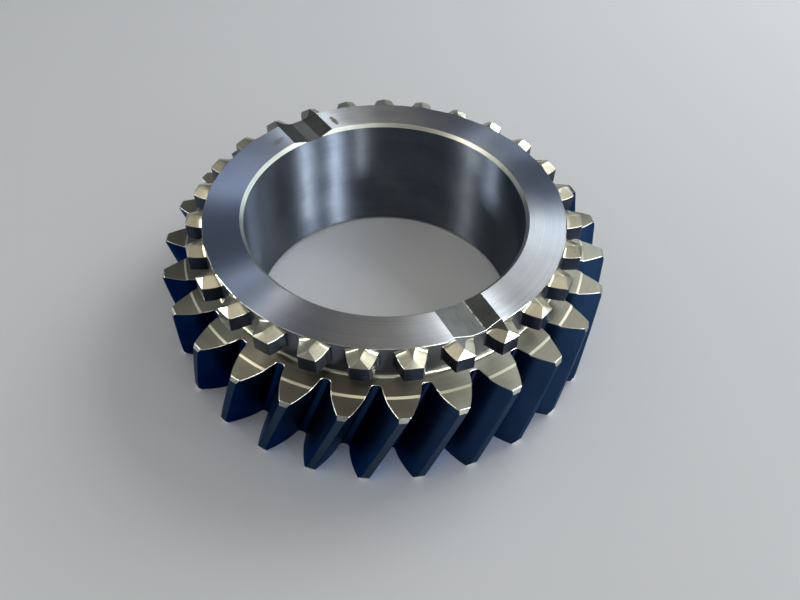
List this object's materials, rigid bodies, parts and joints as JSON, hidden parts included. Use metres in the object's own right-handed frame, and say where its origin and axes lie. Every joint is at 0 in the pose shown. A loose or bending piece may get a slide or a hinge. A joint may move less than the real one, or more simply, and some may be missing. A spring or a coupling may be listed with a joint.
{
  "type": "helical speed gear with dog clutch ring",
  "caption": "Helical-toothed transmission gear turned from one piece, with a ring of hip-roofed dog clutch teeth round its raised hub and two oil grooves across the hub face.",
  "frame": {"origin": "on the gear axis, in the plane of the flat lower face that the gear rests on", "axes": "+Z along the gear axis from the lower face towards the dog teeth; +X to the right of a viewer who looks along +Y"},
  "size_m": [0.1284, 0.1284, 0.04],
  "materials": {
    "steel": "ground faces and bore, hardened dark tooth flanks"
  },
  "bodies": {
    "root": {"gear": "steel"}
  },
  "joints": []
}
